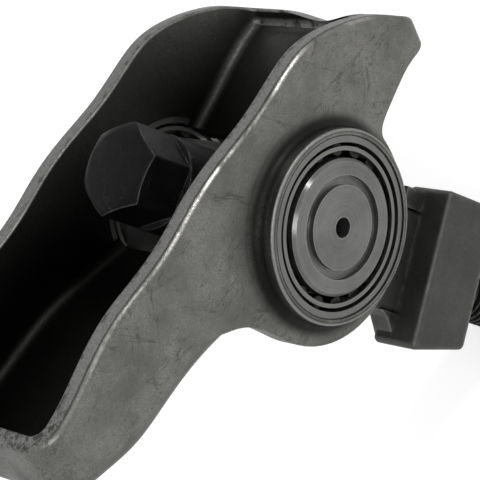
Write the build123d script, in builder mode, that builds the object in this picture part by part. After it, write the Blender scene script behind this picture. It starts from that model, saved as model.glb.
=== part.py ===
from build123d import *
import os
from math import cos, radians, sin, sqrt, tan

# Roller-trunnion rocker arm on its pedestal, with the bolt that holds both to the cylinder head.
#
# Millimetres. The origin is the middle of the pedestal's seat, on the bolt's axis. +Z runs up the bolt
# to its head, +X points to the pushrod end, and the trunnion lies along Y, its near end at -Y.
# The arm is drawn in its own plane, turned about the trunnion by its swing: u runs along the arm
# towards the pushrod, v runs up out of its open channel, and both start on the trunnion's axis.

# ---- where the trunnion stands, and how far the arm is swung
axis_height = 33.2          # pedestal seat to trunnion axis
arm_swing = 37.8            # degrees, valve end raised

# ---- the arm's formed sheet
arm_width = 28.8
sheet = 2.6
lip_sheet = 1.9             # drawn thinner at the valve-end lip
valve_reach = 46.0          # trunnion axis to the outside of the valve-end lip
pushrod_reach = 26.2        # trunnion axis to the outside of the pushrod-end lip
valve_corner = 4.0          # corners seen from above
pushrod_corner = 3.2
hollow_corner = 1.6         # inside corners at both ends
belly_bend = 3.5            # outside bend between the walls and the valve arm's floor
floor_bend = 1.4            # inside bend all round each floor
rim_round = 0.9             # rolled outer edge of the rim
rim_break = 0.3             # sheared inner edge of the rim
cheek_margin = 2.4          # wall left outside the bearing collar
cheek_shift = 0.5           # the cheek reaches this much further towards the valve
floor_gap = 1.6             # trunnion to the edge of each floor
lip_dip_width = 17.0        # the pushrod-end lip dips in the middle
lip_dip_depth = 1.2
collar_height = 2.4         # bearing collar, drawn out of each wall
collar_wall = 0.84
collar_root = 1.5           # fillet where the collar leaves the wall
collar_break = 0.25

# ---- pushrod cup and valve pad
cup_reach = 18.6            # trunnion axis to the ball's middle, along the arm
cup_rise = 4.6              # and up out of the arm
cup_ball = 8.0
cup_wall = 1.6
cup_skirt = 1.8             # straight wall below the ball's middle
cup_root = 3.4              # the cup runs this far above the ball's middle, into the floor
cup_lean = 20.0             # degrees, the mouth faces away from the trunnion
cup_round = 0.5
pad_reach = 35.4            # trunnion axis to the middle of the valve pad
pad_width = 12.0
pad_length = 13.0
pad_radius = 12.0           # the pad rolls on the valve stem on this radius
pad_low = 4.1               # trunnion axis down to the pad's lowest line
pad_into_floor = 2.4        # the pad's height, up into the floor

# ---- trunnion and its needle bearings
shaft_diameter = 16.0
shaft_proud = 0.1           # trunnion's end, past the collar's face
shaft_chamfer = 0.35
groove_diameter = 11.0      # middle of the turned ring in each end face
groove_width = 1.1
groove_depth = 0.7
centre_hole = 2.4
centre_hole_depth = 6.0
bolt_flat = 6.9             # trunnion axis to the flat under the bolt's collar
bolt_flat_length = 14.0
needle_diameter = 1.76
needle_round = 0.25
needle_count = 18
race_clearance = 0.02       # needle to each race
cage_wall = 0.5
cage_offset = 0.2           # the cage runs outside the needles' pitch circle
cage_end = 0.45             # solid ring at each end of the cage
window_clearance = 0.06
race_wall = 0.78
race_inset = 0.15           # outer race, back from the collar's two faces
cage_inset = 0.15           # cage, back from the race's ends

# ---- bolt
bolt_diameter = 8.0         # over the thread
bolt_below_seat = 24.0
shank_diameter = 7.6        # plain length inside the pedestal and trunnion
shank_below_seat = 0.6
bolt_hole = 8.6
bolt_tip_chamfer = 0.9
hex_across_flats = 10.0
hex_height = 6.4
hex_chamfer_diameter = 9.1
hex_turn = -9.0             # degrees, a corner's angle from +X
head_top = 21.0             # trunnion axis to the top of the hex
bolt_collar = 11.6
bolt_collar_chamfer = 0.4

# ---- pedestal
neck_length = 13.2          # along X, between the two floors of the arm
neck_width = 15.0           # along Y, between the walls of the arm
neck_round = 1.0
saddle_drop = 5.2           # trunnion axis down to the saddle's lips
foot_length = 20.6          # the foot's long side, along X
foot_width = 23.2           # along Y
foot_height = 9.4
foot_depth = 7.2            # the long side's share of the foot's width
foot_shift = -0.4           # the long side reaches further towards the valve
foot_rake = 11.0            # degrees, its valve-side end leans in towards the seat
foot_round = 0.8
valve_gusset = 2.8          # webs from the foot's long side up the neck
pushrod_gusset = 3.7
gusset_top = 3.4

os.makedirs("parts", exist_ok=True)

# ---- worked out from the sizes above
wall_outer = arm_width / 2
wall_inner = wall_outer - sheet
collar_face = wall_outer + collar_height
shaft_r = shaft_diameter / 2
pitch_r = shaft_r + race_clearance + needle_diameter / 2
race_r = shaft_r + needle_diameter + 2 * race_clearance
race_outer_r = race_r + race_wall
collar_r = race_outer_r + collar_wall
cheek_r = collar_r + cheek_margin
floor_edge_r = shaft_r + floor_gap
above = 30.0                # clear above the highest point of the rim

# ---- the arm's own planes
axis_point = Vector(0, 0, axis_height)
along_arm = Vector(cos(radians(arm_swing)), 0, -sin(radians(arm_swing)))
up_arm = Vector(sin(radians(arm_swing)), 0, cos(radians(arm_swing)))
arm_side = Plane(origin=axis_point, x_dir=along_arm, z_dir=(0, -1, 0))
arm_far = arm_side.offset(-wall_outer)
hollow_far = arm_side.offset(-wall_inner)
cup_tilt = radians(arm_swing - cup_lean)
cup_middle = axis_point + along_arm * cup_reach + up_arm * cup_rise
cup_across = (cos(cup_tilt), 0, -sin(cup_tilt))
cup_plane = Plane(origin=cup_middle, x_dir=cup_across, z_dir=(sin(cup_tilt), 0, cos(cup_tilt)))

# ---- side outlines of the arm, as (u, v)
rim_points = [
    (pushrod_reach + 3.0, 7.6), (pushrod_reach, 10.8), (pushrod_reach - 2.8, 13.0), (20.6, 15.1), (16.6, 17.2),
    (12.1, 18.75), (7.2, 19.35), (2.6, 18.45), (-2.6, 17.15), (-8.9, 16.3), (-14.6, 15.1),
    (-19.4, 13.5), (-24.7, 12.35), (-30.0, 11.6), (10.8 - valve_reach, 9.9), (5.5 - valve_reach, 7.6),
    (-valve_reach, 6.2),
    (-valve_reach - 4.0, 5.8),
]
lip_middle = (pushrod_reach - sheet / 2, 11.9)
lip_slope = (0.78, -0.62)   # the way the rim falls over the pushrod-end lip
belly_points = [
    (-valve_reach, -1.7), (3.0 - valve_reach, -2.4), (6.0 - valve_reach, -2.8), (10.8 - valve_reach, -3.2),
    (17.0 - valve_reach, -2.3), (-22.5, -1.5),
    (-15.0, -1.8), (-7.0, -2.2),
]
floor_points = [
    (lip_sheet - valve_reach, 0.7), (6.0 - valve_reach, -0.2), (10.8 - valve_reach, -0.6),
    (17.0 - valve_reach, 0.3), (-22.5, 1.1),
    (-15.0, 0.8), (-7.0, 0.4),
]
hip_points = [(-25.0, 2.2), (-19.5, 0.1), (-16.4, -1.6)]
hip_run = (1.0, -0.3)
hip_meets_cheek = 212.0     # degrees round the cheek from the pushrod side
shin_points = [(15.4, 5.1), (19.2, 6.8), (pushrod_reach, 8.0)]
shin_run = (1.0, 0.05)
shin_meets_cheek = 10.0
web_low_points = [(4.0, 1.2), (9.0, 3.0), (15.4, 5.1)]
web_top_points = [(pushrod_reach - sheet, 10.4), (18.4, 9.2), (14.0, 7.5), (9.0, 5.6), (4.0, 3.8)]
tub_end = belly_points[-1][0]
middle_start = -26.0        # between the walls, the hollow of the cheeks starts here


def on_cheek(angle):
    """A point of the cheek's round edge."""
    return (cheek_r * cos(radians(angle)) - cheek_shift, cheek_r * sin(radians(angle)))


def cheek_run(angle):
    """The way the cheek's edge runs there, from the valve side round to the pushrod side."""
    return (-sin(radians(angle)), cos(radians(angle)))


def on_arm(u, v):
    """A point of the arm's middle plane."""
    return axis_point + along_arm * u + up_arm * v


def along(edge):
    """How far along the arm an edge's middle is."""
    return (edge.center() - axis_point).dot(along_arm)


def upright_edges(blank, reach):
    """The straight corner edges of a blank at one reach along the arm."""
    upright = blank.edges().filter_by(lambda e: abs(e.tangent_at(0.5).dot(up_arm)) > 0.999)
    return upright.filter_by(lambda e: abs(along(e) - reach) < 0.05)


def nearest_face(blank, point):
    """The face whose middle is nearest to a point."""
    return blank.faces().sort_by(lambda f: (f.center() - point).length)[0]


def rings_at(blank, radius, y):
    """The circular edges of one radius in one plane across the trunnion."""
    rings = blank.edges().filter_by(GeomType.CIRCLE).filter_by(lambda e: abs(e.radius - radius) < 0.01)
    return rings.filter_by(lambda e: abs(e.arc_center.Y - y) < 0.01)


lip_plane = Plane(
    origin=on_arm(*lip_middle), x_dir=(0, 1, 0), z_dir=along_arm * lip_slope[0] + up_arm * lip_slope[1]
)

# ================================================================ rocker body
# The valve arm's tub: a floor and two walls, with bent lower edges.
with BuildPart() as valve_tub:
    with BuildSketch(arm_far):
        with BuildLine():
            belly = Spline(belly_points)
            Polyline(belly @ 1, (tub_end, above), (-valve_reach, above), belly @ 0)
        make_face()
    extrude(amount=arm_width)
    fillet(upright_edges(valve_tub, -valve_reach), valve_corner)
    belly_face = valve_tub.faces().sort_by(lambda f: f.normal_at().dot(up_arm))[0]
    fillet(belly_face.edges().filter_by(lambda e: along(e) < tub_end - 0.1), belly_bend)

with BuildPart() as valve_hollow:
    with BuildSketch(hollow_far):
        with BuildLine():
            floor = Spline(floor_points)
            Polyline(floor @ 1, (tub_end, above), (floor_points[0][0], above), floor @ 0)
        make_face()
    extrude(amount=2 * wall_inner)
    fillet(upright_edges(valve_hollow, floor_points[0][0]), hollow_corner)
    floor_face = valve_hollow.faces().sort_by(lambda f: f.normal_at().dot(up_arm))[0]
    fillet(floor_face.edges().filter_by(lambda e: along(e) < tub_end - 0.1), floor_bend)

# The hollow between the walls from the valve tub to the pushrod end, leaving the pushrod arm's floor.
with BuildPart() as middle_hollow:
    with BuildSketch(hollow_far):
        with BuildLine():
            web_top = Spline(web_top_points)
            web_low = Spline(web_low_points)
            Polyline(
                web_top @ 0, (pushrod_reach - sheet, above), (middle_start, above),
                (middle_start, -above), (web_low_points[-1][0], -above), web_low @ 1,
            )
            Line(web_top @ 1, web_low @ 0)
        make_face()
    extrude(amount=2 * wall_inner)
    fillet(upright_edges(middle_hollow, pushrod_reach - sheet), hollow_corner)
    web_edges = nearest_face(middle_hollow, on_arm(14.0, 7.5)).edges()
    fillet(web_edges.filter_by(lambda e: along(e) > web_low_points[0][0] + 0.1), floor_bend)

with BuildPart() as rocker_body:
    # Cheeks and pushrod arm, cut to their outline.
    cheek_from = on_cheek(hip_meets_cheek)
    cheek_to = on_cheek(shin_meets_cheek)
    with BuildSketch(arm_far):
        with BuildLine():
            hip = Spline(hip_points + [cheek_from], tangents=[hip_run, cheek_run(hip_meets_cheek)])
            ThreePointArc(cheek_from, on_cheek(-90.0), cheek_to)
            shin = Spline([cheek_to] + shin_points, tangents=[cheek_run(shin_meets_cheek), shin_run])
            Polyline(shin @ 1, (pushrod_reach, above), (hip_points[0][0], above), hip_points[0])
        make_face()
    extrude(amount=arm_width)
    fillet(upright_edges(rocker_body, pushrod_reach), pushrod_corner)
    add(middle_hollow.part, mode=Mode.SUBTRACT)
    add(valve_tub.part)
    add(valve_hollow.part, mode=Mode.SUBTRACT)
    # Both floors stop short of the trunnion.
    with BuildSketch(hollow_far):
        Circle(floor_edge_r)
    extrude(amount=2 * wall_inner, mode=Mode.SUBTRACT)
    # Everything above the rim comes off.
    with BuildSketch(arm_far):
        with BuildLine():
            rim = Spline(rim_points)
            Polyline(rim @ 1, (rim_points[-1][0], above + 5), (rim_points[0][0], above + 5), rim @ 0)
        make_face()
    extrude(amount=arm_width, mode=Mode.SUBTRACT)
    rim_face = nearest_face(rocker_body, on_arm(-9.0, 16.0))
    fillet(rim_face.outer_wire().edges(), rim_round)
    rim_face = nearest_face(rocker_body, on_arm(-9.0, 16.0))
    fillet(rim_face.inner_wires()[0].edges(), rim_break)
    # The pushrod-end lip dips in the middle.
    with BuildSketch(lip_plane):
        with BuildLine():
            dip = Spline(
                (-lip_dip_width / 2, 0), (0, -lip_dip_depth), (lip_dip_width / 2, 0), tangents=[(1, 0), (1, 0)]
            )
            Polyline(dip @ 1, (lip_dip_width / 2, 2 * sheet), (-lip_dip_width / 2, 2 * sheet), dip @ 0)
        make_face()
    extrude(amount=3 * sheet, both=True, mode=Mode.SUBTRACT)

    for side in (1, -1):
        # Bearing collar, with a fillet at its root and a bore for the outer race.
        outward = Plane(origin=axis_point, x_dir=along_arm, z_dir=(0, -side, 0))
        with BuildSketch(outward.offset(wall_inner + sheet / 2)):
            Circle(collar_r)
        extrude(amount=collar_face - wall_inner - sheet / 2)
        with BuildSketch(outward.offset(wall_inner)):
            Circle(race_outer_r)
        extrude(amount=collar_face - wall_inner, mode=Mode.SUBTRACT)
        fillet(rings_at(rocker_body, collar_r, -side * wall_outer), collar_root)
        fillet(rings_at(rocker_body, collar_r, -side * collar_face), collar_break)
    # Pushrod cup under the pushrod arm's floor.
    with BuildSketch(cup_plane.offset(-cup_skirt)):
        Circle(cup_ball / 2 + cup_wall)
    extrude(amount=cup_skirt + cup_root)
    cup_mouth = nearest_face(rocker_body, cup_middle - cup_plane.z_dir * cup_skirt)
    fillet(cup_mouth.edges(), cup_round)
    with Locations(cup_plane):
        Sphere(cup_ball / 2, mode=Mode.SUBTRACT)
    with BuildSketch(cup_plane.offset(-cup_skirt)):
        Circle(cup_ball / 2)
    extrude(amount=cup_skirt, mode=Mode.SUBTRACT)
    # Valve pad under the valve arm's floor.
    with BuildSketch(arm_side.offset(-pad_width / 2)):
        with Locations((-pad_reach, pad_radius - pad_low)):
            Circle(pad_radius)
        with Locations((-pad_reach, -pad_low)):
            Rectangle(pad_length, 2 * pad_into_floor, mode=Mode.INTERSECT)
    extrude(amount=pad_width)
rocker_body.part.label = "rocker_body"
export_step(rocker_body.part, "parts/rocker_body.step")

# ================================================================ needle bearings
race_start = wall_inner + race_inset
race_end = collar_face - race_inset
cage_start = race_start + cage_inset
cage_length = race_end - cage_inset - cage_start
cage_r = pitch_r + cage_offset
window_length = cage_length - 2 * cage_end
needle_length = window_length - 2 * window_clearance

for name, side in (("near", 1), ("far", -1)):
    outward = Plane(origin=axis_point, x_dir=(1, 0, 0), z_dir=(0, -side, 0))

    with BuildPart() as bearing_cup:
        with BuildSketch(outward.offset(race_start)):
            Circle(race_outer_r)
            Circle(race_r, mode=Mode.SUBTRACT)
        extrude(amount=race_end - race_start)
    bearing_cup.part.label = "bearing_cup_" + name
    export_step(bearing_cup.part, "parts/bearing_cup_" + name + ".step")

    with BuildPart() as bearing_cage:
        with BuildSketch(outward.offset(cage_start)):
            Circle(cage_r + cage_wall / 2)
            Circle(cage_r - cage_wall / 2, mode=Mode.SUBTRACT)
        extrude(amount=cage_length)
        with BuildSketch(outward.offset(cage_start + cage_end)):
            with PolarLocations(cage_r, needle_count):
                Rectangle(2 * cage_wall, needle_diameter + 2 * window_clearance)
        extrude(amount=window_length, mode=Mode.SUBTRACT)
    bearing_cage.part.label = "bearing_cage_" + name
    export_step(bearing_cage.part, "parts/bearing_cage_" + name + ".step")

    for number in range(needle_count):
        angle = 360 / needle_count * number
        with BuildPart() as needle:
            with BuildSketch(outward.offset(cage_start + cage_end + window_clearance)):
                with Locations((pitch_r * cos(radians(angle)), pitch_r * sin(radians(angle)))):
                    Circle(needle_diameter / 2)
            extrude(amount=needle_length)
            fillet(needle.edges().filter_by(GeomType.CIRCLE), needle_round)
        needle.part.label = "needle_" + name + "_" + str(number + 1).zfill(2)
        export_step(needle.part, "parts/" + needle.part.label + ".step")

# ================================================================ trunnion
shaft_end = collar_face + shaft_proud
with BuildPart() as trunnion_shaft:
    with BuildSketch(Plane.XZ.offset(-shaft_end)):
        with Locations((0, axis_height)):
            Circle(shaft_r)
    extrude(amount=2 * shaft_end)
    chamfer(trunnion_shaft.edges().filter_by(GeomType.CIRCLE), shaft_chamfer)
    for side in (1, -1):
        outward = Plane(origin=axis_point, x_dir=(1, 0, 0), z_dir=(0, -side, 0))
        with BuildSketch(outward.offset(shaft_end - groove_depth)):
            Circle((groove_diameter + groove_width) / 2)
            Circle((groove_diameter - groove_width) / 2, mode=Mode.SUBTRACT)
        extrude(amount=groove_depth, mode=Mode.SUBTRACT)
        with BuildSketch(outward.offset(shaft_end - centre_hole_depth)):
            Circle(centre_hole / 2)
        extrude(amount=centre_hole_depth, mode=Mode.SUBTRACT)
    # Hole for the bolt, and the flat its collar pulls on.
    with BuildSketch(Plane.XY.offset(axis_height - shaft_r)):
        Circle(bolt_hole / 2)
    extrude(amount=shaft_diameter, mode=Mode.SUBTRACT)
    with BuildSketch(Plane.XY.offset(axis_height + bolt_flat)):
        Rectangle(shaft_diameter, bolt_flat_length)
    extrude(amount=shaft_r, mode=Mode.SUBTRACT)
trunnion_shaft.part.label = "trunnion_shaft"
export_step(trunnion_shaft.part, "parts/trunnion_shaft.step")

# ================================================================ bolt
hex_r = hex_across_flats / sqrt(3)
hex_top = axis_height + head_top
hex_low = hex_top - hex_height
hex_drop = (hex_r - hex_chamfer_diameter / 2) * tan(radians(30))
with BuildPart() as rocker_bolt:
    with BuildSketch(Plane.XY.offset(-bolt_below_seat)):
        Circle(bolt_diameter / 2)
    extrude(amount=bolt_below_seat - shank_below_seat)
    chamfer(rocker_bolt.edges().group_by(Axis.Z)[0], bolt_tip_chamfer)
    with BuildSketch(Plane.XY.offset(-shank_below_seat)):
        Circle(shank_diameter / 2)
    extrude(amount=shank_below_seat + axis_height + bolt_flat)
    with BuildSketch(Plane.XY.offset(axis_height + bolt_flat)):
        Circle(bolt_collar / 2)
    extrude(amount=hex_low - axis_height - bolt_flat)
    chamfer(rocker_bolt.edges().group_by(Axis.Z)[-1], bolt_collar_chamfer)
    with BuildSketch(Plane.XY.offset(hex_low)):
        RegularPolygon(hex_r, 6, rotation=hex_turn)
    extrude(amount=hex_height)
    # The hex's corners are turned off in a cone.
    with BuildSketch(Plane.XZ):
        Polygon(
            (hex_chamfer_diameter / 2, hex_top), (hex_r, hex_top - hex_drop), (hex_r, hex_top), align=None
        )
    revolve(axis=Axis.Z, mode=Mode.SUBTRACT)
rocker_bolt.part.label = "rocker_bolt"
export_step(rocker_bolt.part, "parts/rocker_bolt.step")

# ================================================================ pedestal
foot_side_y = foot_width / 2 - foot_depth
foot_from = foot_shift - foot_length / 2
foot_to = foot_shift + foot_length / 2
rake = foot_height * tan(radians(foot_rake))
neck_side = neck_length / 2

with BuildPart() as foot_side:
    with BuildSketch(Plane.XZ.offset(foot_side_y)):
        Polygon(
            (foot_from + rake, 0), (foot_to, 0), (foot_to, foot_height), (foot_from, foot_height), align=None
        )
    extrude(amount=foot_depth)
    fillet(foot_side.edges() - foot_side.edges().group_by(Axis.Z)[0], foot_round)

with BuildPart() as pedestal:
    with BuildSketch():
        RectangleRounded(neck_length, neck_width, neck_round)
    extrude(amount=axis_height - saddle_drop)
    with BuildSketch():
        with Locations((0, foot_width / 4)):
            RectangleRounded(neck_length, foot_width / 2, foot_round)
    extrude(amount=foot_height)
    add(foot_side.part)
    # Gussets from the foot's long side up to the neck.
    with BuildSketch(Plane.XZ.offset(foot_side_y)):
        Polygon(
            (foot_from + foot_round, foot_height - foot_round), (-neck_side, foot_height - foot_round),
            (-neck_side, foot_height + valve_gusset),
            (foot_from + gusset_top, foot_height + valve_gusset / 2),
            align=None,
        )
        Polygon(
            (neck_side, foot_height - foot_round), (foot_to - foot_round, foot_height - foot_round),
            (foot_to - foot_round, foot_height + pushrod_gusset), (neck_side, foot_height + pushrod_gusset),
            align=None,
        )
    extrude(amount=neck_width / 2 - foot_side_y)
    with BuildSketch(Plane.XZ.offset(-neck_width)):
        with Locations((0, axis_height)):
            Circle(shaft_r)
    extrude(amount=2 * neck_width, mode=Mode.SUBTRACT)
    with BuildSketch():
        Circle(bolt_hole / 2)
    extrude(amount=axis_height, mode=Mode.SUBTRACT)
pedestal.part.label = "pedestal"
export_step(pedestal.part, "parts/pedestal.step")
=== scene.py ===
"""Dresses a roller-trunnion rocker arm: its steel, its threaded bolt, its pedestal and a plain stage."""

from math import cos, pi, radians, sin, sqrt, tan

import bpy
from mathutils import Matrix, Vector


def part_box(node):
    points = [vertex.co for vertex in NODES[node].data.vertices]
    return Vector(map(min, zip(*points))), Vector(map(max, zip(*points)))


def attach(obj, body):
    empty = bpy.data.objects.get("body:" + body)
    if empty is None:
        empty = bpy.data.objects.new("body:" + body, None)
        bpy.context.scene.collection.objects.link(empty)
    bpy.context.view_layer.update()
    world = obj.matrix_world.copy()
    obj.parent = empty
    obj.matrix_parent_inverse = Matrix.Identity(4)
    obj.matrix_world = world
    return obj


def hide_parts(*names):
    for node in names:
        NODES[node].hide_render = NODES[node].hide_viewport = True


bl_info = {
    "name": "Rocker arm dressing",
    "version": (1, 0, 0),
    "blender": (4, 5, 0),
    "location": "View3D > Sidebar > Rocker Arm",
    "description": "Finishes the steel of a rocker arm, threads its bolt and sets a plain stage",
    "category": "Object",
}

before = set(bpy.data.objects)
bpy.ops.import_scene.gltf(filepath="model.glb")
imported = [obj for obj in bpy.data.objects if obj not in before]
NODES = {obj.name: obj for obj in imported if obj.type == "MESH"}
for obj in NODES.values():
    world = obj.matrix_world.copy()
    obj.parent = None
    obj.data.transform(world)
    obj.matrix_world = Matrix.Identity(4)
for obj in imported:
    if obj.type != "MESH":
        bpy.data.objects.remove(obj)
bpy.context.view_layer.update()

MM = 0.001
WHITE = (1.0, 1.0, 1.0, 1.0)

# The trunnion's axis stands above the seat and runs across the arm, along Y.
AXIS_HEIGHT = 33.2 * MM
TRUNNION_AXIS = (0.0, 0.0, AXIS_HEIGHT)
ACROSS = (0.0, 1.0, 0.0)
SIDE_VIEW = (1.0, 0.0, 1.0)

# The arm's own directions: it is swung this far about the trunnion, its valve end up.
ARM_SWING = radians(37.8)
ALONG_ARM = Vector((cos(ARM_SWING), 0.0, -sin(ARM_SWING)))
UP_ARM = Vector((sin(ARM_SWING), 0.0, cos(ARM_SWING)))
CHANNEL_MIDDLE = tuple(ALONG_ARM * -10 * MM + UP_ARM * 13 * MM)


# ------------------------------------------------------------------ sizes and colours to change
def length_prop(name, description, millimetres):
    return bpy.props.FloatProperty(
        name=name, description=description, default=millimetres * MM, unit="LENGTH", precision=5
    )


def colour_prop(name, description, value):
    return bpy.props.FloatVectorProperty(
        name=name, description=description, default=value, subtype="COLOR", size=3, min=0.0, max=1.0
    )


def amount_prop(name, description, value):
    return bpy.props.FloatProperty(name=name, description=description, default=value, min=0.0, max=1.0)


def power_prop(name, description, watts):
    return bpy.props.FloatProperty(name=name, description=description, default=watts, unit="POWER")


class ArmSettings(bpy.types.PropertyGroup):
    steel: colour_prop("Steel", "Colour of the arm's phosphated steel", (0.205, 0.204, 0.191))
    sheared: colour_prop("Sheared rim", "Colour of the rim where the sheet was cut", (0.27, 0.27, 0.265))
    # This colour is also the painted highlight on the rim's rolled edge.
    rubbed: colour_prop("Rubbed edge", "Colour of the rim's rolled edge, rubbed bright", (0.40, 0.39, 0.37))
    # This colour, darkened, is also the painted shade inside the channel, in the collar's root and in the
    # line beside the rolled edge.
    stain_and_shade: colour_prop("Stain", "Oil and grime in the arm's corners and pits", (0.030, 0.029, 0.026))
    roughness: amount_prop("Roughness", "How dull the arm's steel is", 0.38)
    scratches: amount_prop("Scratches", "How many fine scratches the arm has", 0.7)
    pits: amount_prop("Pits", "How many small pits the arm has", 0.6)
    collar: length_prop("Collar", "Radius of the bearing collar", 11.42)
    bore: length_prop("Bore", "Radius of the collar's bore, where the outer race sits", 10.58)
    wall: length_prop("Wall", "From the arm's middle plane to its outside", 14.4)


class BearingSettings(bpy.types.PropertyGroup):
    race: colour_prop("Race", "Colour of the outer races", (0.20, 0.20, 0.195))
    cage: colour_prop("Cage", "Colour of the needle cages", (0.22, 0.22, 0.21))
    # The needles' near-black colour is mostly painted shade for the gap between the races, partly grease.
    needle: colour_prop("Needle", "Colour of the needles in their grease", (0.035, 0.034, 0.032))
    trunnion: colour_prop("Trunnion", "Colour of the trunnion's ground steel", (0.215, 0.216, 0.210))
    bright: colour_prop("Bright", "Colour of scratched and rubbed steel", (0.34, 0.34, 0.33))


class BoltSettings(bpy.types.PropertyGroup):
    black: colour_prop("Black", "Colour of the bolt's black oxide", (0.0045, 0.0045, 0.0045))
    bare: colour_prop("Bare edge", "Colour of the steel where the oxide has rubbed off", (0.20, 0.20, 0.20))
    crest: length_prop("Crest", "Diameter over the thread's crests", 8.0)
    core: length_prop("Core", "Diameter at the thread's roots", 6.6)
    shank: length_prop("Shank", "Diameter of the plain length above the thread", 7.6)
    pitch: length_prop("Pitch", "Thread pitch", 1.25)
    threaded: length_prop("Threaded", "Length of thread up from the tip", 22.6)
    across_flats: length_prop("Across flats", "Width of the hex", 10.0)
    turned_off: length_prop("Turned off", "Diameter of the flat on top of the hex", 9.1)


class PedestalSettings(bpy.types.PropertyGroup):
    iron: colour_prop("Iron", "Colour of the pedestal's sintered iron", (0.072, 0.072, 0.068))
    # This colour, spread wide along the edges, is also a painted highlight.
    rubbed: colour_prop("Rubbed edge", "Colour of the pedestal's rubbed edges", (0.22, 0.22, 0.21))


class StageSettings(bpy.types.PropertyGroup):
    floor: colour_prop("Floor", "Colour of the floor", (0.86, 0.86, 0.86))
    lens: bpy.props.FloatProperty(name="Lens", description="Camera lens in millimetres", default=153.3)
    glow: amount_prop("Glow", "How much whiter the floor is to the camera alone", 0.25)
    key_power: power_prop("Key", "Power of the key lamp", 0.9)
    rim_power: power_prop("Rim", "Power of the rim lamp", 0.6)


# ------------------------------------------------------------------ shader helpers
def rgba(colour, share=1.0):
    """A colour for a socket, darker or lighter by a share."""
    return (colour[0] * share, colour[1] * share, colour[2] * share, 1.0)


class Sheet:
    """A node tree with short calls for its nodes and links."""

    def __init__(self, tree):
        self.tree = tree

    def add(self, kind, **settings):
        node = self.tree.nodes.new(kind)
        for key, value in settings.items():
            setattr(node, key, value)
        return node

    def link(self, source, target):
        self.tree.links.new(source, target)

    def feed(self, node, values):
        for key, value in values.items():
            target = node.inputs[key]
            if isinstance(value, bpy.types.NodeSocket):
                self.link(value, target)
            else:
                target.default_value = value
        return node

    def maths(self, operation, first, second=0.0, clamp=False):
        node = self.add("ShaderNodeMath", operation=operation, use_clamp=clamp)
        return self.feed(node, {0: first, 1: second}).outputs[0]

    def chain(self, operation, first, others):
        for value in others:
            first = self.maths(operation, first, value)
        return first

    def times(self, first, *others):
        return self.chain("MULTIPLY", first, others)

    def plus(self, first, *others):
        return self.chain("ADD", first, others)

    def minus(self, first, *others):
        return self.chain("SUBTRACT", first, others)

    def most(self, first, *others):
        return self.chain("MAXIMUM", first, others)

    def apart(self, first, second):
        """How far apart two values are."""
        return self.maths("ABSOLUTE", self.minus(first, second))

    def vector(self, operation, first, second=(0.0, 0.0, 0.0)):
        node = self.add("ShaderNodeVectorMath", operation=operation)
        self.feed(node, {0: first, 1: second})
        return node.outputs["Value" if operation in ("DOT_PRODUCT", "LENGTH") else "Vector"]

    def part_along(self, arrow, direction):
        """How much of an arrow lies along a direction."""
        return self.vector("DOT_PRODUCT", arrow, tuple(direction))

    def out_from_axis(self, place):
        """The arrow from the trunnion's axis straight out to a place."""
        return self.vector("MULTIPLY", self.vector("SUBTRACT", place, TRUNNION_AXIS), SIDE_VIEW)

    def ramp(self, value, start, end, low=0.0, high=1.0, smooth=True):
        node = self.add("ShaderNodeMapRange", interpolation_type="SMOOTHSTEP" if smooth else "LINEAR")
        limits = {"From Min": start, "From Max": end, "To Min": low, "To Max": high}
        self.feed(node, {"Value": value, **limits})
        return node.outputs["Result"]

    def band(self, value, rise, full, still, gone):
        """One inside a band of values, fading out at both ends."""
        return self.times(self.ramp(value, rise, full), self.ramp(value, still, gone, 1.0, 0.0))

    def mix(self, factor, first, second):
        node = self.add("ShaderNodeMix", data_type="RGBA")
        return self.feed(node, {0: factor, 6: first, 7: second}).outputs[2]

    def noise(self, where, scale, detail, roughness):
        node = self.add("ShaderNodeTexNoise")
        self.feed(node, {"Vector": where, "Scale": scale, "Detail": detail, "Roughness": roughness})
        return node.outputs["Fac"]

    def patches(self, where, scale, detail, roughness, start, end, low=0.0, high=1.0):
        """Noise cut into patches with soft edges."""
        return self.ramp(self.noise(where, scale, detail, roughness), start, end, low, high)


def open_group(name, inputs, outputs):
    """A new shader group: its sheet, the sockets that it is given and the sockets for its results."""
    group = bpy.data.node_groups.new(name, "ShaderNodeTree")
    for label, default in inputs.items():
        single = isinstance(default, float)
        kind = "NodeSocketFloat" if single else "NodeSocketVector"
        item = group.interface.new_socket(name=label, in_out="INPUT", socket_type=kind)
        item.default_value = default
        if single:
            item.min_value = 0.0
            item.max_value = 1.0
    for label in outputs:
        group.interface.new_socket(name=label, in_out="OUTPUT", socket_type="NodeSocketFloat")
    sheet = Sheet(group)
    return sheet, sheet.add("NodeGroupInput").outputs, sheet.add("NodeGroupOutput").inputs


# Each family of scratches has a turn about Y, a stretch along its strokes and a scale of noise.
SCRATCHES = ((0.62, 9.0, 330.0), (-0.55, 7.0, 420.0), (1.35, 8.0, 380.0), (0.15, 9.0, 460.0))
STROKE_WIDTH = 0.022


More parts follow.
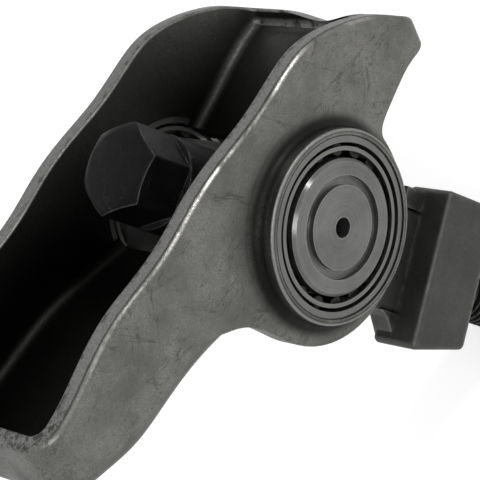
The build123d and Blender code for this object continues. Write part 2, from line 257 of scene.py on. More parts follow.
def build_marks_group():
    """Fine scratches, small pits and cloudy blotches on Object coordinates."""
    sheet, given, result = open_group(
        "surface_marks",
        {"Vector": (0.0, 0.0, 0.0), "Scratches": 0.5, "Pits": 0.5},
        ("Scratch", "Pit", "Cloud", "Grain"),
    )
    place = given["Vector"]
    strokes = []
    for angle, stretch, scale in SCRATCHES:
        turned = sheet.add("ShaderNodeMapping", vector_type="TEXTURE")
        narrow = 1.0 / stretch
        sheet.feed(turned, {"Vector": place, "Rotation": (0.3, angle, 0.2), "Scale": (1.0, narrow, narrow)})
        drawn_out = turned.outputs["Vector"]
        line = sheet.apart(sheet.noise(drawn_out, scale / 4.0, 2.0, 0.5), 0.5)
        thin = sheet.ramp(line, 0.0, STROKE_WIDTH, 1.0, 0.0)
        strokes.append(sheet.times(thin, sheet.patches(drawn_out, scale / 8.0, 2.0, 0.5, 0.51, 0.64)))
    scratch = sheet.maths("MULTIPLY", sheet.most(*strokes), given["Scratches"], True)
    cells = sheet.add("ShaderNodeTexVoronoi", feature="F1")
    sheet.feed(cells, {"Vector": place, "Scale": 1500.0, "Randomness": 1.0})
    dot = sheet.ramp(cells.outputs["Distance"], 0.05, 0.30, 1.0, 0.0)
    some = sheet.patches(place, 420.0, 3.0, 0.7, 0.52, 0.66)
    sheet.link(scratch, result["Scratch"])
    sheet.link(sheet.maths("MULTIPLY", sheet.times(dot, some), given["Pits"], True), result["Pit"])
    sheet.link(sheet.patches(place, 130.0, 7.0, 0.72, 0.32, 0.68), result["Cloud"])
    sheet.link(sheet.noise(place, 5200.0, 2.0, 0.6), result["Grain"])


def build_edge_group():
    """Where an edge stands proud and its finish is rubbed off."""
    sheet, given, result = open_group(
        "rubbed_edge", {"Vector": (0.0, 0.0, 0.0), "Radius": 0.0003, "Reach": 0.5}, ("Edge",)
    )
    rounded = sheet.add("ShaderNodeBevel", samples=4)
    sheet.link(given["Radius"], rounded.inputs["Radius"])
    flat = sheet.add("ShaderNodeNewGeometry")
    agree = sheet.vector("DOT_PRODUCT", rounded.outputs["Normal"], flat.outputs["Normal"])
    turned = sheet.ramp(agree, 0.995, 0.86, smooth=False)
    broken = sheet.patches(given["Vector"], 700.0, 4.0, 0.7, 0.30, 0.62)
    edge = sheet.maths("MULTIPLY", sheet.times(turned, broken), given["Reach"], True)
    sheet.link(edge, result["Edge"])


def build_turning_group():
    """Fine rings left by turning, round the trunnion's axis."""
    sheet, given, result = open_group("turned_rings", {"Vector": (0.0, 0.0, 0.0)}, ("Rings",))
    line = sheet.add("ShaderNodeCombineXYZ")
    sheet.link(sheet.vector("LENGTH", sheet.out_from_axis(given["Vector"])), line.inputs["X"])
    sheet.link(sheet.noise(line.outputs["Vector"], 4200.0, 3.0, 0.7), result["Rings"])


class Finish:
    """A material with its Object coordinates and its Principled shader ready."""

    def __init__(self, name, metallic, roughness):
        self.material = bpy.data.materials.new(name)
        self.material.use_nodes = True
        self.sheet = Sheet(self.material.node_tree)
        self.shader = self.material.node_tree.nodes["Principled BSDF"].inputs
        self.shader["Metallic"].default_value = metallic
        self.shader["Roughness"].default_value = roughness
        coordinates = self.sheet.add("ShaderNodeTexCoord").outputs
        self.place = coordinates["Object"]
        self.normal = coordinates["Normal"]
        self.shade = None

    def group(self, name, **values):
        node = self.sheet.add("ShaderNodeGroup", node_tree=bpy.data.node_groups[name])
        self.sheet.link(self.place, node.inputs["Vector"])
        return self.sheet.feed(node, values).outputs

    def undercoat(self, factor, first, second):
        """The first colour, drifting to the second."""
        self.shade = self.sheet.mix(factor, first, second)

    def coat(self, mask, colour):
        """A colour laid over what is there, where the mask is."""
        self.shade = self.sheet.mix(mask, self.shade, colour)

    def show_colour(self):
        self.sheet.link(self.shade, self.shader["Base Color"])

    def dullness(self, value):
        self.sheet.link(value, self.shader["Roughness"])

    def bump(self, height, distance, strength):
        node = self.sheet.add("ShaderNodeBump")
        self.sheet.feed(node, {"Height": height, "Distance": distance, "Strength": strength})
        self.sheet.link(node.outputs["Normal"], self.shader["Normal"])

    def turned_sheen(self, strength):
        """Highlights drawn out across the turning marks, away from the trunnion's axis."""
        self.shader["Anisotropic"].default_value = strength
        self.sheet.link(self.sheet.out_from_axis(self.place), self.shader["Tangent"])


def wear(node_name, material):
    """Gives a CAD node or a new piece its material."""
    piece = NODES[node_name] if isinstance(node_name, str) else node_name
    if not piece.material_slots:
        piece.data.materials.append(material)
    for slot in piece.material_slots:
        slot.material = material


# ------------------------------------------------------------------ modelling helpers
def let_go():
    """Out of edit mode, with nothing selected."""
    if bpy.context.object and bpy.context.object.mode != "OBJECT":
        bpy.ops.object.mode_set(mode="OBJECT")
    bpy.ops.object.select_all(action="DESELECT")


def pick(piece):
    """The piece alone is selected and active."""
    let_go()
    piece.select_set(True)
    bpy.context.view_layer.objects.active = piece


def apply_modifiers(piece):
    pick(piece)
    for modifier in list(piece.modifiers):
        bpy.ops.object.modifier_apply(modifier=modifier.name)


def settle(piece):
    """The piece's place goes into its mesh, and its faces point outwards."""
    pick(piece)
    bpy.ops.object.transform_apply(location=True, rotation=True, scale=True)
    bpy.ops.object.mode_set(mode="EDIT")
    bpy.ops.mesh.select_all(action="SELECT")
    bpy.ops.mesh.remove_doubles(threshold=1e-7)
    bpy.ops.mesh.normals_make_consistent(inside=False)
    bpy.ops.object.mode_set(mode="OBJECT")


def turn_piece(name, stations, steps=96):
    """A turned piece on the Z axis: a disc drawn up through (radius, height) stations and closed."""
    let_go()
    radius, height = stations[0]
    bpy.ops.mesh.primitive_circle_add(
        vertices=steps, radius=radius, fill_type="NGON", location=(0, 0, height)
    )
    piece = bpy.context.object
    piece.name = name
    bpy.ops.object.mode_set(mode="EDIT")
    bpy.ops.mesh.select_all(action="SELECT")
    for next_radius, next_height in stations[1:]:
        rise = (0, 0, next_height - height)
        bpy.ops.mesh.extrude_region_move(TRANSFORM_OT_translate={"value": rise})
        ratio = next_radius / radius
        bpy.ops.transform.resize(value=(ratio, ratio, 1), center_override=(0, 0, next_height))
        radius, height = next_radius, next_height
    bpy.ops.object.mode_set(mode="OBJECT")
    settle(piece)
    return piece


def combine(piece, tool, operation):
    """A Boolean of one piece by another, which is used up."""
    let_go()
    modifier = piece.modifiers.new("cut", "BOOLEAN")
    modifier.operation = operation
    modifier.solver = "EXACT"
    modifier.object = tool
    apply_modifiers(piece)
    bpy.data.objects.remove(tool, do_unlink=True)


def smooth(piece, angle):
    pick(piece)
    bpy.ops.object.shade_smooth_by_angle(angle=radians(angle))


# ------------------------------------------------------------------ operators, one for each piece or group
class ROCKER_OT_shared_effects(bpy.types.Operator):
    """Builds the shader groups that the finishes share"""

    bl_idname = "rocker.shared_effects"
    bl_label = "Shared effects"

    def execute(self, context):
        build_marks_group()
        build_edge_group()
        build_turning_group()
        return {"FINISHED"}


class ArmSpot:
    """Where a point of the arm lies in the arm's own directions, and which way its face looks."""

    def __init__(self, finish):
        sheet = finish.sheet
        from_axis = sheet.vector("SUBTRACT", finish.place, TRUNNION_AXIS)
        self.along = sheet.part_along(from_axis, ALONG_ARM)
        self.height = sheet.part_along(from_axis, UP_ARM)
        self.spread = sheet.maths("ABSOLUTE", sheet.part_along(finish.place, ACROSS))
        self.radius = sheet.vector("LENGTH", sheet.vector("MULTIPLY", from_axis, SIDE_VIEW))
        self.upward = sheet.part_along(finish.normal, UP_ARM)
        self.sideways = sheet.maths("ABSOLUTE", sheet.part_along(finish.normal, ACROSS))
        from_middle = sheet.vector("SUBTRACT", from_axis, CHANNEL_MIDDLE)
        self.outward = sheet.vector("DOT_PRODUCT", finish.normal, from_middle)


class ROCKER_OT_arm(bpy.types.Operator):
    """Gives the arm its phosphated steel, brighter where the rim was sheared, with painted shade and painted
    highlights
    """

    bl_idname = "rocker.arm"
    bl_label = "Arm"

    # Lengths along the arm and heights above the trunnion's axis: where a mask starts and where it ends,
    # then what it is worth there.
    RIM_FOOT = (-20 * MM, -13 * MM, 5.6 * MM, 12.2 * MM)
    RIM_FOOT_AT_PUSHROD = (22.6 * MM, 23.8 * MM, 0.0, -4.5 * MM)
    # Painted shade deep in the channel, and round the collar fading along the arm.
    INSIDE_SHADE_DEPTH = (5 * MM, 18 * MM, 0.97, 0.25)
    COLLAR_SHADE_FADE = (-14 * MM, 6 * MM, 1.0, 0.25)
    VALVE_END = (-43 * MM, -38 * MM, 1.0, 0.0)
    # Where the rolled edge's painted highlight falls.
    HIGHLIGHT_BY_VALVE_ARM = (-24 * MM, -17 * MM, -9 * MM, -5 * MM)
    HIGHLIGHT_BY_COLLAR = (0.0, 3 * MM, 6 * MM, 10 * MM)
    # How a face looks up or aside, from 0 to 1.
    LOOKS_UP = (0.05, 0.25)
    LOOKS_DOWN = (-0.55, -0.15, 0.65, 0.0)
    RIM_TOP = (0.12, 0.30, 1.0, 0.0)
    # A painted shade line, then the rolled edge's painted highlight, by how far a face looks aside.
    SHADE_LINE = (0.16, 0.28, 0.34, 0.46)
    ROLLED_EDGE = (0.34, 0.52, 0.74, 0.92)
    # Noise in patches: scale, detail and roughness, where a patch starts and where it is whole, its worth.
    GRIT = (3600.0, 4.0, 0.75, 0.34, 0.68)
    # Patches of the painted shade round the collar.
    COLLAR_SHADE_PATCHES = (210.0, 5.0, 0.65, 0.36, 0.62)
    TORN = (900.0, 4.0, 0.7, 0.50, 0.60, 0.0, 0.8)
    TORN_AT_END = (1500.0, 4.0, 0.8, 0.47, 0.58, 0.0, 0.8)
    # Patches of the rolled edge's painted highlight, and what breaks it up.
    RUBBED_AND_HIGHLIGHT_PATCHES = (150.0, 3.0, 0.5, 0.50, 0.66, 0.0, 0.7)
    HIGHLIGHT_BREAKS = (420.0, 5.0, 0.7, 0.34, 0.56)
    RELIEF_HEIGHT = 0.035 * MM

    def execute(self, context):
        look = context.scene.rocker_arm
        finish = Finish("arm_steel", 1.0, look.roughness)
        sheet = finish.sheet
        spot = ArmSpot(finish)
        marks = finish.group("surface_marks", Scratches=look.scratches, Pits=look.pits)
        edge = finish.group("rubbed_edge", Radius=0.35 * MM, Reach=0.55)["Edge"]
        high = self.above_floors(sheet, spot)
        rim = sheet.times(high, sheet.ramp(spot.sideways, *self.RIM_TOP))
        inside = self.inside_channel(sheet, spot, high)
        grit = sheet.patches(finish.place, *self.GRIT)
        strokes = sheet.times(marks["Scratch"], sheet.maths("SUBTRACT", 0.7, inside, True))
        self.lay_steel(look, finish, spot, marks, strokes)
        finish.coat(sheet.times(edge, 0.5), rgba(look.sheared))
        self.lay_rim(look, finish, spot, rim, grit)
        # The rolled edge's painted highlight, which also makes that edge less rough.
        broken = self.lay_rolled_edge(look, finish, spot, high)
        self.lay_collar_highlight(look, finish, spot)
        # Painted shade inside the channel and in the collar's root, with dark seams round the race.
        finish.coat(self.painted_shade_and_seams(look, sheet, spot, inside), rgba(look.stain_and_shade, 0.22))
        finish.show_colour()
        dull = sheet.plus(look.roughness, sheet.times(marks["Cloud"], 0.10), sheet.times(rim, 0.06))
        finish.dullness(sheet.minus(dull, sheet.times(broken, 0.14)))
        relief = sheet.plus(sheet.times(marks["Grain"], 0.45), sheet.times(marks["Cloud"], 0.9))
        relief = sheet.minus(relief, sheet.times(marks["Pit"], 0.8), strokes)
        finish.bump(sheet.plus(relief, sheet.times(rim, grit, 0.6)), self.RELIEF_HEIGHT, 0.8)
        wear("rocker_body", finish.material)
        return {"FINISHED"}

    def above_floors(self, sheet, spot):
        """Faces that look up and stand above both floors and the collars."""
        foot = sheet.plus(
            sheet.ramp(spot.along, *self.RIM_FOOT), sheet.ramp(spot.along, *self.RIM_FOOT_AT_PUSHROD)
        )
        above = sheet.ramp(sheet.minus(spot.height, foot), 0.0, 0.3 * MM)
        return sheet.times(above, sheet.ramp(spot.upward, *self.LOOKS_UP))

    def inside_channel(self, sheet, spot, high):
        """Faces that look in at the channel's middle, apart from the rim."""
        return sheet.maths("SUBTRACT", sheet.ramp(spot.outward, -6.5 * MM, -2.5 * MM, 1.0, 0.0), high, True)

    def lay_steel(self, look, finish, spot, marks, strokes):
        """Cloudy grey steel with grain, pits and strokes, with painted shade on faces that look down and in
        patches round the collar.
        """
        sheet = finish.sheet
        finish.undercoat(marks["Cloud"], rgba(look.steel, 1.12), rgba(look.steel, 0.62))
        finish.coat(sheet.ramp(marks["Grain"], 0.36, 0.66, 0.0, 0.65), rgba(look.steel, 0.55))
        finish.coat(marks["Pit"], rgba(look.stain_and_shade))
        finish.coat(strokes, rgba(look.stain_and_shade, 1.5))
        # Painted shade: faces that look down are darker.
        finish.coat(sheet.ramp(spot.upward, *self.LOOKS_DOWN), rgba(look.steel, 0.35))
        # Painted shade in patches round the collar, fading along the arm.
        round_collar = sheet.ramp(spot.radius, look.collar + 0.5 * MM, look.collar + 6.0 * MM, 0.5, 0.0)
        collar_shade = sheet.times(
            round_collar, sheet.patches(finish.place, *self.COLLAR_SHADE_PATCHES), sheet.ramp(spot.along, *self.COLLAR_SHADE_FADE)
        )
        finish.coat(collar_shade, rgba(look.steel, 0.38))

    def lay_rim(self, look, finish, spot, rim, grit):
        """The sheared rim, gritty, with torn specks along its inner side and at the valve end."""
        sheet = finish.sheet
        finish.coat(rim, sheet.mix(grit, rgba(look.sheared, 0.62), rgba(look.sheared)))
        inner_side = sheet.ramp(spot.spread, look.wall - 2.3 * MM, look.wall - 1.5 * MM, 1.0, 0.0)
        torn = sheet.times(inner_side, sheet.patches(finish.place, *self.TORN))
        valve_end = sheet.ramp(spot.along, *self.VALVE_END)
        end = sheet.times(valve_end, sheet.patches(finish.place, *self.TORN_AT_END))
        finish.coat(sheet.times(rim, sheet.most(torn, end)), rgba(look.stain_and_shade))

    def lay_rolled_edge(self, look, finish, spot, high):
        """The rim's outer edge: a painted shade line, and beside it a painted highlight on the rolled edge in
        stretches, rubbed smoother there.
        """
        sheet = finish.sheet
        outer_side = sheet.ramp(spot.spread, look.wall - 1.3 * MM, look.wall - 0.8 * MM)
        outer = sheet.times(high, outer_side)
        shade_line = sheet.times(outer, sheet.band(spot.sideways, *self.SHADE_LINE))
        # Painted shade: a dark line beside the rolled edge.
        finish.coat(sheet.times(shade_line, 0.6), rgba(look.stain_and_shade))
        highlight_stretches = sheet.most(
            sheet.band(spot.along, *self.HIGHLIGHT_BY_VALVE_ARM),
            sheet.band(spot.along, *self.HIGHLIGHT_BY_COLLAR),
            sheet.patches(finish.place, *self.RUBBED_AND_HIGHLIGHT_PATCHES),
        )
        rolled = sheet.times(outer, sheet.band(spot.sideways, *self.ROLLED_EDGE))
        broken = sheet.times(rolled, sheet.patches(finish.place, *self.HIGHLIGHT_BREAKS), highlight_stretches)
        # Painted highlight on the rolled edge, in stretches.
        finish.coat(broken, rgba(look.rubbed))
        return broken

    def lay_collar_highlight(self, look, finish, spot):
        """A painted highlight: a bright line round the collar's outer edge."""
        sheet = finish.sheet
        line = sheet.band(
            spot.radius, look.collar - 0.32 * MM, look.collar - 0.18 * MM, look.collar, look.collar + 0.1 * MM
        )
        on_face = sheet.ramp(spot.spread, look.wall + 2.05 * MM, look.wall + 2.25 * MM)
        finish.coat(sheet.times(line, on_face, 0.8), rgba(look.sheared))

    def painted_shade_and_seams(self, look, sheet, spot, inside):
        """Painted shade down inside the channel and in the collar's root, and dark seams round the race and
        in the collar's ring.
        """
        depth = sheet.ramp(spot.height, *self.INSIDE_SHADE_DEPTH)
        # Painted shade in the collar's root.
        root = sheet.times(
            sheet.ramp(spot.radius, look.collar + 0.6 * MM, look.collar + 2.1 * MM, 1.0, 0.0),
            sheet.ramp(spot.spread, look.wall + 0.9 * MM, look.wall + 2.0 * MM, 1.0, 0.0),
            sheet.ramp(spot.spread, look.wall - 0.1 * MM, look.wall - 0.02 * MM),
        )
        from_seam = sheet.apart(spot.radius, look.bore)
        from_ring = sheet.apart(spot.radius, look.bore + 0.42 * MM)
        return sheet.most(
            # Painted shade deep inside the channel.
            sheet.times(inside, depth),
            sheet.times(root, 0.93),
            sheet.ramp(from_seam, 0.05 * MM, 0.16 * MM, 0.9, 0.0),
            sheet.ramp(from_ring, 0.02 * MM, 0.09 * MM, 0.55, 0.0),
        )


class ROCKER_OT_bearings(bpy.types.Operator):
    """Finishes the races, the needle cages and the needles"""

    bl_idname = "rocker.bearings"
    bl_label = "Needle bearings"

    def execute(self, context):
        look = context.scene.rocker_bearings
        # The needles' near-black colour is mostly painted shade, partly grease.
        for start, name, colour, roughness in (
            ("bearing_cup", "race_steel", look.race, 0.32),
            ("bearing_cage", "cage_steel", look.cage, 0.36),
            ("needle", "needle_steel", look.needle, 0.25),
        ):
            steel = self.turned_steel(name, colour, roughness)
            for node_name in NODES:
                if node_name.startswith(start):
                    wear(node_name, steel)
        return {"FINISHED"}

    def turned_steel(self, name, colour, roughness):
        finish = Finish(name, 1.0, roughness)
        sheet = finish.sheet
        marks = finish.group("surface_marks", Scratches=0.4, Pits=0.2)
        rings = finish.group("turned_rings")["Rings"]
        finish.undercoat(sheet.ramp(rings, 0.3, 0.7), rgba(colour, 0.8), rgba(colour))
        finish.coat(sheet.times(marks["Cloud"], 0.35), rgba(colour, 0.6))
        finish.show_colour()
        finish.dullness(sheet.ramp(marks["Cloud"], 0.0, 1.0, roughness, roughness + 0.1))
        finish.bump(sheet.plus(rings, marks["Grain"]), 0.006 * MM, 0.6)
        finish.turned_sheen(0.5)
        return finish.material


class ROCKER_OT_trunnion(bpy.types.Operator):
    """Gives the trunnion its ground steel, with turned rings on its end faces"""

    bl_idname = "rocker.trunnion"
    bl_label = "Trunnion"

    def execute(self, context):
        look = context.scene.rocker_bearings
        finish = Finish("trunnion_steel", 1.0, 0.30)
        sheet = finish.sheet
        marks = finish.group("surface_marks", Scratches=0.12, Pits=0.4)
        rings = finish.group("turned_rings")["Rings"]
        edge = finish.group("rubbed_edge", Radius=0.3 * MM, Reach=0.8)["Edge"]
        finish.undercoat(sheet.ramp(rings, 0.3, 0.7), rgba(look.trunnion, 0.72), rgba(look.trunnion))
        finish.coat(sheet.times(marks["Cloud"], 0.5), rgba(look.trunnion, 0.6))
        finish.coat(marks["Scratch"], rgba(look.bright))
        finish.coat(edge, rgba(look.bright))
        finish.show_colour()
        finish.dullness(sheet.ramp(marks["Cloud"], 0.0, 1.0, 0.28, 0.42))
        finish.bump(sheet.plus(rings, sheet.times(marks["Grain"], 0.5)), 0.010 * MM, 0.7)
        finish.turned_sheen(0.9)
        wear("trunnion_shaft", finish.material)
        return {"FINISHED"}


class ROCKER_OT_bolt(bpy.types.Operator):
    """Models the flanged hex bolt with its thread, in black oxide rubbed at the edges"""

    bl_idname = "rocker.bolt"
    bl_label = "Bolt"

    # The collar seats on the trunnion's flat, and the hex stands on it, turned a little about its axis.
    COLLAR_SEAT = AXIS_HEIGHT + 6.9 * MM
    COLLAR_RADIUS = 5.8 * MM
    HEX_HEIGHT = 6.4 * MM
    HEX_TURN = radians(21.0)
    HEX_CORNER = 0.28 * MM
    HEX_CONE = tan(radians(30.0))
    SPARE = 1.0 * MM
    # The thread's ridge: half its width at the root and at the crest, as shares of half a pitch.
    ROOT_SHARE = 0.92
    CREST_SHARE = 0.16
    STEPS_A_TURN = 48

    def execute(self, context):
        look = context.scene.rocker_bolt
        low, high = (corner[2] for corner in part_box("rocker_bolt"))
        head = self.head(look, high)
        shank = self.shank(look, low)
        finish = self.oxide(look)
        for piece in (head, shank):
            wear(piece, finish)
            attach(piece, "stand")
        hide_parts("rocker_bolt")
        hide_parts("rocker_bolt")
        return {"FINISHED"}

    def head(self, look, high):
        """A hex with softened corners, its top turned off in a cone, above a round collar."""
        hex_radius = look.across_flats / sqrt(3)
        hex_low = high - self.HEX_HEIGHT
        blank_radius = hex_radius + self.SPARE
        top_radius = look.turned_off / 2
        let_go()
        bpy.ops.mesh.primitive_cylinder_add(
            vertices=6, radius=hex_radius, depth=self.HEX_HEIGHT + 2 * self.SPARE,
            location=(0, 0, high - self.HEX_HEIGHT / 2), rotation=(0, 0, self.HEX_TURN),
        )
        head = bpy.context.object
        head.name = "bolt_head"
        settle(head)
        corners = head.modifiers.new("corners", "BEVEL")
        corners.width = self.HEX_CORNER
        corners.segments = 3
        apply_modifiers(head)
        combine(head, turn_piece("bolt_outline", [
            (blank_radius, hex_low),
            (blank_radius, high - (blank_radius - top_radius) * self.HEX_CONE),
            (top_radius + 0.3 * MM, high - 0.3 * MM * self.HEX_CONE),
            (top_radius, high - 0.06 * MM),
            (top_radius - 0.3 * MM, high),
        ]), "INTERSECT")
        combine(head, turn_piece("bolt_collar", [
            (5.5 * MM, self.COLLAR_SEAT),
            (self.COLLAR_RADIUS, self.COLLAR_SEAT + 0.3 * MM),
            (self.COLLAR_RADIUS, hex_low - 0.45 * MM),
            (5.72 * MM, hex_low - 0.2 * MM),
            (5.45 * MM, hex_low - 0.04 * MM),
            (5.1 * MM, hex_low + 0.02 * MM),
        ]), "UNION")
        smooth(head, 32.0)
        return head

    def shank(self, look, low):
        """Plain above, then the thread's core down to a chamfered tip, with the thread wound on it."""
        crest_radius = look.crest / 2
        core_radius = look.core / 2
        shank_radius = look.shank / 2
        runout = low + look.threaded
        shank = turn_piece("bolt_shank", [
            (crest_radius - 1.2 * MM, low),
            (core_radius, low + 0.75 * MM),
            (core_radius, runout),
            (shank_radius, runout + 0.7 * MM),
            (shank_radius, self.COLLAR_SEAT + 0.2 * MM),
        ])
        ridge = self.ridge(look, core_radius, crest_radius, low, runout)
        combine(ridge, turn_piece("thread_envelope", [
            (crest_radius - 0.9 * MM, low),
            (crest_radius + 0.1 * MM, low + 1.0 * MM),
            (crest_radius + 0.1 * MM, runout - 0.6 * MM),
            (core_radius - 0.05 * MM, runout + 0.5 * MM),
        ], 48), "INTERSECT")
        combine(shank, ridge, "UNION")
        smooth(shank, 30.0)
        return shank

    def ridge(self, look, core_radius, crest_radius, low, runout):
        """The thread's ridge: its profile wound up the core and closed at both ends."""
        half = look.pitch / 2
        let_go()
        bpy.ops.mesh.primitive_plane_add(size=1.0, location=(0, 0, 0))
        ridge = bpy.context.object
        ridge.name = "bolt_thread"
        root = core_radius - 0.25 * MM
        crest = crest_radius - 0.02 * MM
        profile = [
            (root, -half * self.ROOT_SHARE), (crest, -half * self.CREST_SHARE),
            (crest, half * self.CREST_SHARE), (root, half * self.ROOT_SHARE),
        ]
        corners = ridge.data.vertices
        order = sorted(range(4), key=lambda k: (corners[k].co.y, corners[k].co.x))
        for corner, (out, up) in zip((order[0], order[1], order[3], order[2]), profile):
            corners[corner].co = (out, 0.0, low - half + up)
        bpy.ops.object.mode_set(mode="EDIT")
        bpy.ops.mesh.select_all(action="SELECT")
        bpy.ops.mesh.delete(type="ONLY_FACE")
        bpy.ops.object.mode_set(mode="OBJECT")
        wind = ridge.modifiers.new("wind", "SCREW")
        wind.axis = "Z"
        wind.angle = 2 * pi
        wind.screw_offset = look.pitch
        wind.iterations = int((runout - low) / look.pitch) + 1
        wind.steps = self.STEPS_A_TURN
        wind.render_steps = self.STEPS_A_TURN
        wind.use_merge_vertices = True
        wind.merge_threshold = 1e-7
        apply_modifiers(ridge)
        bpy.ops.object.mode_set(mode="EDIT")
        bpy.ops.mesh.select_mode(type="EDGE")
        bpy.ops.mesh.select_all(action="DESELECT")
        bpy.ops.mesh.select_non_manifold()
        bpy.ops.mesh.edge_face_add()
        bpy.ops.object.mode_set(mode="OBJECT")
        settle(ridge)
        return ridge

    def oxide(self, look):
        """Black oxide in cloudy patches, scratched grey and rubbed bare along the edges."""
        finish = Finish("bolt_black", 0.55, 0.42)
        finish.shader["Specular IOR Level"].default_value = 0.12
        sheet = finish.sheet
        marks = finish.group("surface_marks", Scratches=0.7, Pits=0.6)
        edge = finish.group("rubbed_edge", Radius=0.3 * MM, Reach=0.6)["Edge"]
        finish.undercoat(marks["Cloud"], rgba(look.black), rgba(look.black, 1.9))
        finish.coat(sheet.times(marks["Scratch"], 0.35), rgba(look.bare, 0.25))
        finish.coat(edge, rgba(look.bare))
        finish.show_colour()
        finish.dullness(sheet.ramp(marks["Cloud"], 0.0, 1.0, 0.38, 0.55))
        finish.bump(sheet.minus(sheet.times(marks["Grain"], 0.5), marks["Pit"]), 0.016 * MM, 0.8)
        return finish.material


class ROCKER_OT_pedestal(bpy.types.Operator):
    """Gives the pedestal its dark sintered iron, rubbed bright along its edges, widened into a painted
    highlight
    """

    bl_idname = "rocker.pedestal"
    bl_label = "Pedestal"

    def execute(self, context):
        look = context.scene.rocker_pedestal
        finish = Finish("pedestal_iron", 0.9, 0.45)
        sheet = finish.sheet
        marks = finish.group("surface_marks", Scratches=0.35, Pits=1.0)
        # The wide rubbed edge is partly a painted highlight along the pedestal's edges.
        edge = finish.group("rubbed_edge", Radius=0.9 * MM, Reach=0.9)["Edge"]
        speck = sheet.patches(finish.place, 2400.0, 3.0, 0.7, 0.42, 0.70)
        finish.undercoat(speck, rgba(look.iron), rgba(look.iron, 1.18))
        finish.coat(marks["Pit"], rgba(look.iron, 0.55))
        finish.coat(sheet.times(marks["Cloud"], 0.5), rgba(look.iron, 0.7))
        finish.coat(edge, rgba(look.rubbed))
        finish.show_colour()
        finish.dullness(sheet.ramp(marks["Cloud"], 0.0, 1.0, 0.38, 0.55))
        relief = sheet.minus(sheet.plus(speck, marks["Grain"]), sheet.times(marks["Pit"], 1.5))
        finish.bump(relief, 0.010 * MM, 0.6)
        wear("pedestal", finish.material)
        return {"FINISHED"}


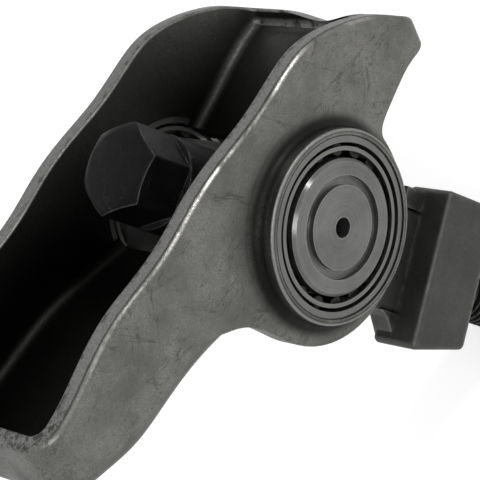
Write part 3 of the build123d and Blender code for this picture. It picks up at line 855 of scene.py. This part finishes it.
class ROCKER_OT_stage(bpy.types.Operator):
    """Sets the pale floor, the soft lamps and the camera"""

    bl_idname = "rocker.stage"
    bl_label = "Stage"

    FLOOR_WIDTH = 6.0
    FLOOR_HEIGHT = -24.0 * MM
    AIR = (0.95, 0.95, 0.95, 1.0)
    AIR_STRENGTH = 0.85
    # The lamps' places and widths in metres, all turned to the trunnion.
    KEY = ((-0.10, -0.34, 0.46), 0.20)
    RIM = ((0.36, -0.24, 0.32), 0.07)
    AIM = Vector((0.0, 0.0, 0.03))
    # The camera's place, and its own directions in the frame.
    CAMERA_PLACE = (-0.02257, -0.17395, 0.2052)
    CAMERA_RIGHT = (0.2443, -0.6977, -0.6735)
    CAMERA_UP = (0.9665, 0.1190, 0.2273)
    CAMERA_BACK = (-0.0785, -0.7065, 0.7034)

    def execute(self, context):
        look = context.scene.rocker_stage
        self.lay_floor(look)
        self.fill_air(context.scene)
        self.hang_lamp(context.scene, "key", self.KEY, look.key_power)
        self.hang_lamp(context.scene, "rim", self.RIM, look.rim_power)
        self.place_camera(context.scene, look)
        context.scene.view_settings.view_transform = "Standard"
        return {"FINISHED"}

    def lay_floor(self, look):
        """A wide pale floor at the bolt's tip, a little whiter to the camera alone."""
        let_go()
        bpy.ops.mesh.primitive_plane_add(size=self.FLOOR_WIDTH, location=(0, 0, self.FLOOR_HEIGHT))
        floor = bpy.context.object
        floor.name = "floor"
        paper = Finish("pale_floor", 0.0, 0.9)
        sheet = paper.sheet
        paper.shader["Specular IOR Level"].default_value = 0.0
        paper.undercoat(
            sheet.patches(paper.place, 4.0, 2.0, 0.5, 0.3, 0.7), rgba(look.floor), rgba(look.floor, 0.99)
        )
        paper.show_colour()
        seen = sheet.add("ShaderNodeLightPath").outputs["Is Camera Ray"]
        paper.shader["Emission Color"].default_value = WHITE
        sheet.link(sheet.times(seen, look.glow), paper.shader["Emission Strength"])
        wear(floor, paper.material)

    def fill_air(self, scene):
        """An even pale light from all sides, white to the camera and through anything clear."""
        world = bpy.data.worlds.new("studio")
        scene.world = world
        world.use_nodes = True
        sheet = Sheet(world.node_tree)
        back = world.node_tree.nodes["Background"].inputs
        path = sheet.add("ShaderNodeLightPath").outputs
        seen = sheet.most(path["Is Camera Ray"], path["Is Transmission Ray"])
        sheet.link(sheet.mix(seen, self.AIR, WHITE), back["Color"])
        back["Strength"].default_value = self.AIR_STRENGTH

    def hang_lamp(self, scene, name, setting, power):
        place, width = setting
        lamp = bpy.data.lights.new(name, "AREA")
        lamp.energy = power
        lamp.size = width
        holder = bpy.data.objects.new(name, lamp)
        scene.collection.objects.link(holder)
        holder.location = place
        holder.rotation_euler = (self.AIM - Vector(place)).to_track_quat("-Z", "Y").to_euler()

    def place_camera(self, scene, look):
        axes = Matrix((self.CAMERA_RIGHT, self.CAMERA_UP, self.CAMERA_BACK))
        shot = bpy.data.cameras.new("shot")
        shot.lens = look.lens
        shot.sensor_width = 36.0
        shot.clip_start = 0.01
        holder = bpy.data.objects.new("shot", shot)
        scene.collection.objects.link(holder)
        holder.matrix_world = Matrix.Translation(self.CAMERA_PLACE) @ axes.transposed().to_4x4()
        scene.camera = holder


class ROCKER_PT_panel(bpy.types.Panel):
    """Lists the dressing's steps and settings"""

    bl_label = "Rocker Arm"
    bl_idname = "ROCKER_PT_panel"
    bl_space_type = "VIEW_3D"
    bl_region_type = "UI"
    bl_category = "Rocker Arm"

    def draw(self, context):
        for step in STEPS:
            self.layout.operator("rocker." + step)
        for name in SETTINGS:
            box = self.layout.box()
            group = getattr(context.scene, name)
            for prop in group.__annotations__:
                box.prop(group, prop)


STEPS = ("shared_effects", "arm", "bearings", "trunnion", "bolt", "pedestal", "stage")
SETTINGS = {
    "rocker_arm": ArmSettings,
    "rocker_bearings": BearingSettings,
    "rocker_bolt": BoltSettings,
    "rocker_pedestal": PedestalSettings,
    "rocker_stage": StageSettings,
}
CLASSES = (
    *SETTINGS.values(), ROCKER_OT_shared_effects, ROCKER_OT_arm, ROCKER_OT_bearings, ROCKER_OT_trunnion,
    ROCKER_OT_bolt, ROCKER_OT_pedestal, ROCKER_OT_stage, ROCKER_PT_panel,
)


def register():
    for item in CLASSES:
        bpy.utils.register_class(item)
    for name, group in SETTINGS.items():
        setattr(bpy.types.Scene, name, bpy.props.PointerProperty(type=group))


def unregister():
    for name in SETTINGS:
        delattr(bpy.types.Scene, name)
    for item in reversed(CLASSES):
        bpy.utils.unregister_class(item)


def main():
    register()
    for step in STEPS:
        getattr(bpy.ops.rocker, step)()


if __name__ == "__main__":
    main()
